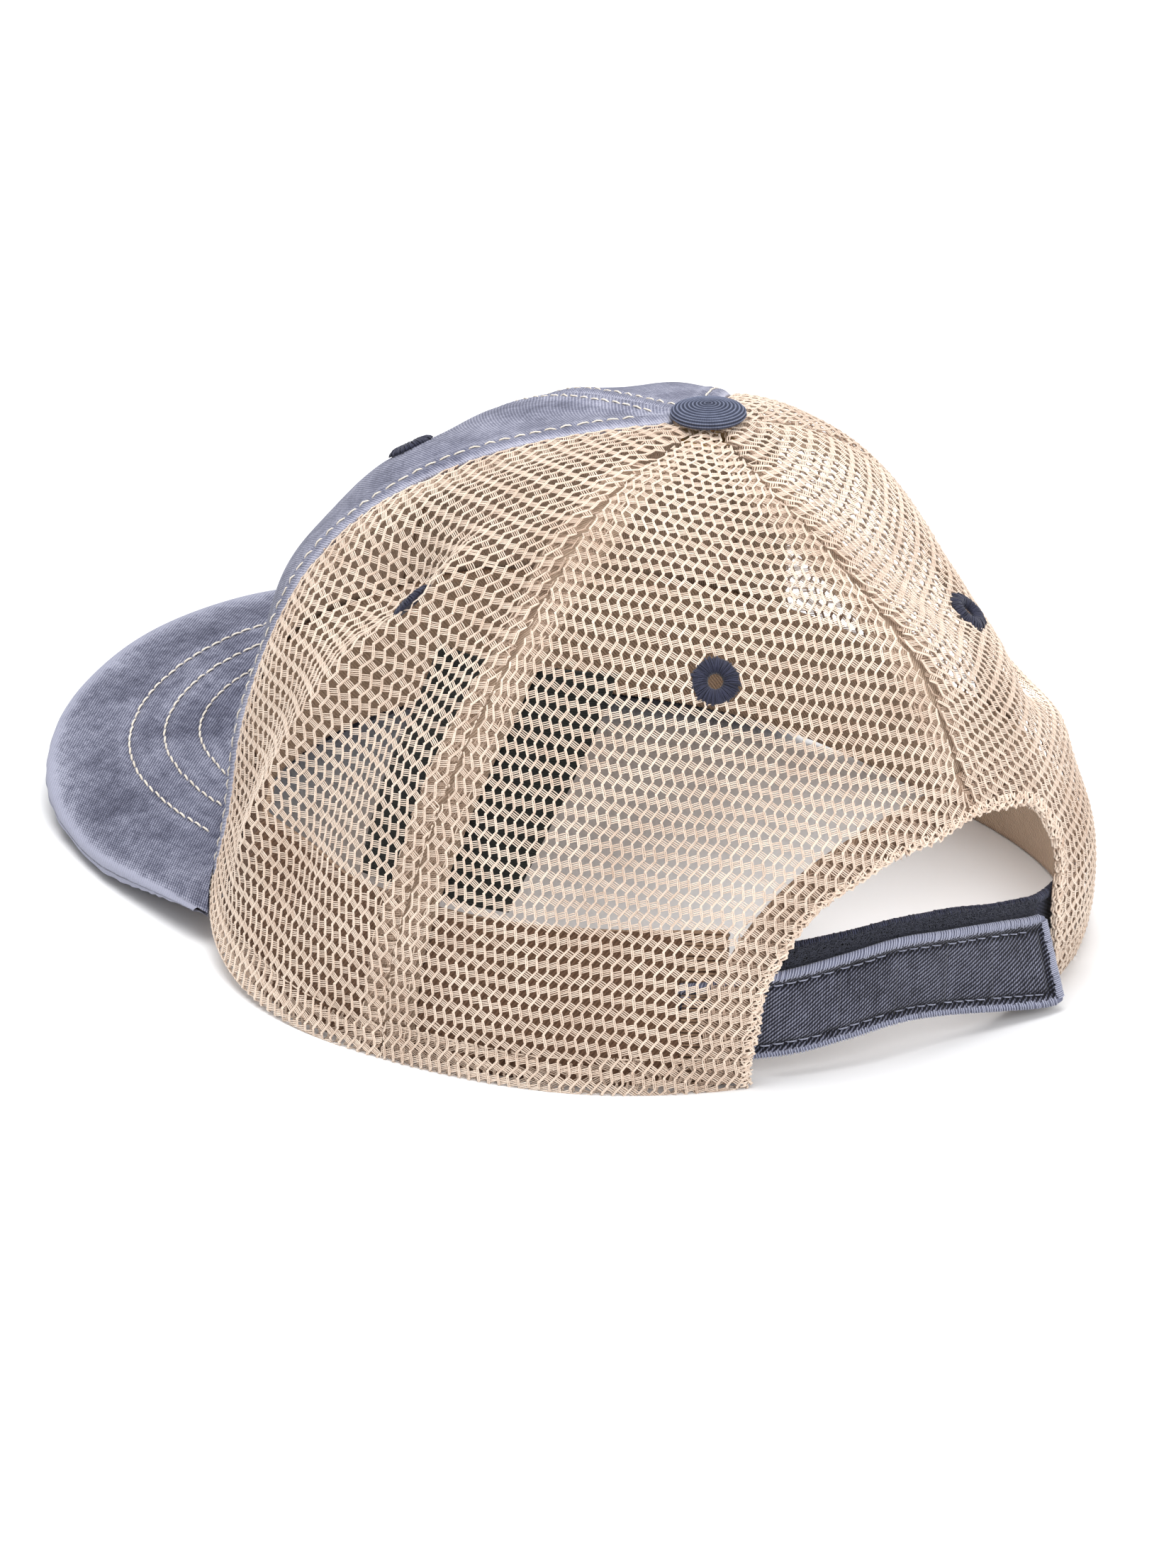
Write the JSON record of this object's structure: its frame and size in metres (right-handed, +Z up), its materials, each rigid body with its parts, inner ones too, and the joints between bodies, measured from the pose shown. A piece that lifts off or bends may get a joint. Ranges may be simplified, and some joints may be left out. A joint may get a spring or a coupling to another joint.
{
  "type": "trucker mesh cap",
  "caption": "Soft baseball-style cap with denim front panels, knit mesh side and back panels, a stitched curved bill, a top button, stitched eyelets and a hook-and-loop rear strap.",
  "frame": {"origin": "middle of the head opening, on the plane that the rear hem rests on", "axes": "+Z up through the top button, -Y towards the bill, +X towards the wearer's left"},
  "size_m": [0.18, 0.2444, 0.1145],
  "materials": {
    "knit_mesh": "open knit",
    "denim": "washed twill",
    "cotton_backing": "plain weave",
    "twill_tape": "twill",
    "sweatband_twill": "twill",
    "eyelet_thread": "embroidered",
    "button_cloth": "ribbed cloth",
    "rivet_metal": "satin",
    "bill_plastic": "matte",
    "bill_denim": "washed twill",
    "strap_denim": "washed twill",
    "hook_tape": "hooks",
    "loop_tape": "loops",
    "label_satin": "satin"
  },
  "bodies": {
    "root": {"back_panel_left": "knit_mesh", "back_panel_right": "knit_mesh", "bill_board": "bill_plastic", "bill_top_cover": "bill_denim", "bill_under_cover": "bill_denim", "button_rivet": "rivet_metal", "button_washer": "rivet_metal", "closure_strap_1": "strap_denim", "eyelet_back_left": "eyelet_thread", "eyelet_back_right": "eyelet_thread", "eyelet_front_left": "eyelet_thread", "eyelet_front_right": "eyelet_thread", "eyelet_side_left": "eyelet_thread", "eyelet_side_right": "eyelet_thread", "front_lining_left": "cotton_backing", "front_lining_right": "cotton_backing", "front_panel_left": "denim", "front_panel_right": "denim", "rear_arch_tape": "twill_tape", "seam_tape_back_left": "twill_tape", "seam_tape_back_right": "twill_tape", "seam_tape_front_center": "twill_tape", "seam_tape_front_left": "twill_tape", "seam_tape_front_right": "twill_tape", "seam_tape_rear_center": "twill_tape", "side_panel_left": "knit_mesh", "side_panel_right": "knit_mesh", "sweatband": "sweatband_twill", "top_button": "button_cloth", "under_strap_1": "strap_denim"},
    "strap_seg_2": {"closure_strap_2": "strap_denim", "hook_strip_2": "hook_tape"},
    "strap_seg_3": {"closure_strap_3": "strap_denim", "hook_strip_3": "hook_tape"},
    "strap_seg_4": {"closure_strap_4": "strap_denim", "hook_strip_4": "hook_tape"},
    "strap_seg_5": {"closure_strap_5": "strap_denim", "hook_strip_5": "hook_tape"},
    "strap_seg_6": {"closure_strap_6": "strap_denim", "hook_strip_6": "hook_tape"},
    "under_seg_2": {"under_strap_2": "strap_denim", "loop_strip_2": "loop_tape"},
    "under_seg_3": {"under_strap_3": "strap_denim", "loop_strip_3": "loop_tape"},
    "under_seg_4": {"under_strap_4": "strap_denim", "loop_strip_4": "loop_tape"},
    "under_seg_5": {"under_strap_5": "strap_denim", "loop_strip_5": "loop_tape"},
    "label": {"inner_label": "label_satin"}
  },
  "joints": [
    {"name": "strap_peel", "type": "hinge", "parent": "root", "child": "strap_seg_2", "pos_m": [0.02959, 0.08453, 0.011], "axis": [0, 0, -1], "range_deg": [0, 28]},
    {"name": "strap_peel_2", "type": "hinge", "parent": "strap_seg_2", "child": "strap_seg_3", "pos_m": [0.01674, 0.08827, 0.011], "axis": [0, 0, -1], "range_deg": [0, 28]},
    {"name": "strap_peel_3", "type": "hinge", "parent": "strap_seg_3", "child": "strap_seg_4", "pos_m": [0.00438, 0.09026, 0.011], "axis": [0, 0, -1], "range_deg": [0, 28]},
    {"name": "strap_peel_4", "type": "hinge", "parent": "strap_seg_4", "child": "strap_seg_5", "pos_m": [-0.008, 0.09088, 0.011], "axis": [0, 0, -1], "range_deg": [0, 28]},
    {"name": "strap_peel_5", "type": "hinge", "parent": "strap_seg_5", "child": "strap_seg_6", "pos_m": [-0.01988, 0.09033, 0.011], "axis": [0, 0, -1], "range_deg": [0, 28]},
    {"name": "under_strap_swing", "type": "hinge", "parent": "root", "child": "under_seg_2", "pos_m": [-0.02897, 0.08543, 0.012], "axis": [0, 0, -1], "range_deg": [0, 14]},
    {"name": "under_strap_swing_2", "type": "hinge", "parent": "under_seg_2", "child": "under_seg_3", "pos_m": [-0.01476, 0.08733, 0.012], "axis": [0, 0, -1], "range_deg": [0, 14]},
    {"name": "under_strap_swing_3", "type": "hinge", "parent": "under_seg_3", "child": "under_seg_4", "pos_m": [-0.00029, 0.08724, 0.012], "axis": [0, 0, -1], "range_deg": [0, 14]},
    {"name": "under_strap_swing_4", "type": "hinge", "parent": "under_seg_4", "child": "under_seg_5", "pos_m": [0.01409, 0.08534, 0.012], "axis": [0, 0, -1], "range_deg": [0, 14]},
    {"name": "label_flap", "type": "hinge", "parent": "root", "child": "label", "pos_m": [0.07227, 0.03206, 0.03418], "axis": [0.3839, -0.9233, -0.0115], "range_deg": [0, 65]}
  ],
  "couplings": [
    {"joint": "strap_peel_2", "follows": "strap_peel", "ratio": 1},
    {"joint": "strap_peel_3", "follows": "strap_peel", "ratio": 1},
    {"joint": "strap_peel_4", "follows": "strap_peel", "ratio": 1},
    {"joint": "strap_peel_5", "follows": "strap_peel", "ratio": 1},
    {"joint": "under_strap_swing_2", "follows": "under_strap_swing", "ratio": 1},
    {"joint": "under_strap_swing_3", "follows": "under_strap_swing", "ratio": 1},
    {"joint": "under_strap_swing_4", "follows": "under_strap_swing", "ratio": 1}
  ]
}
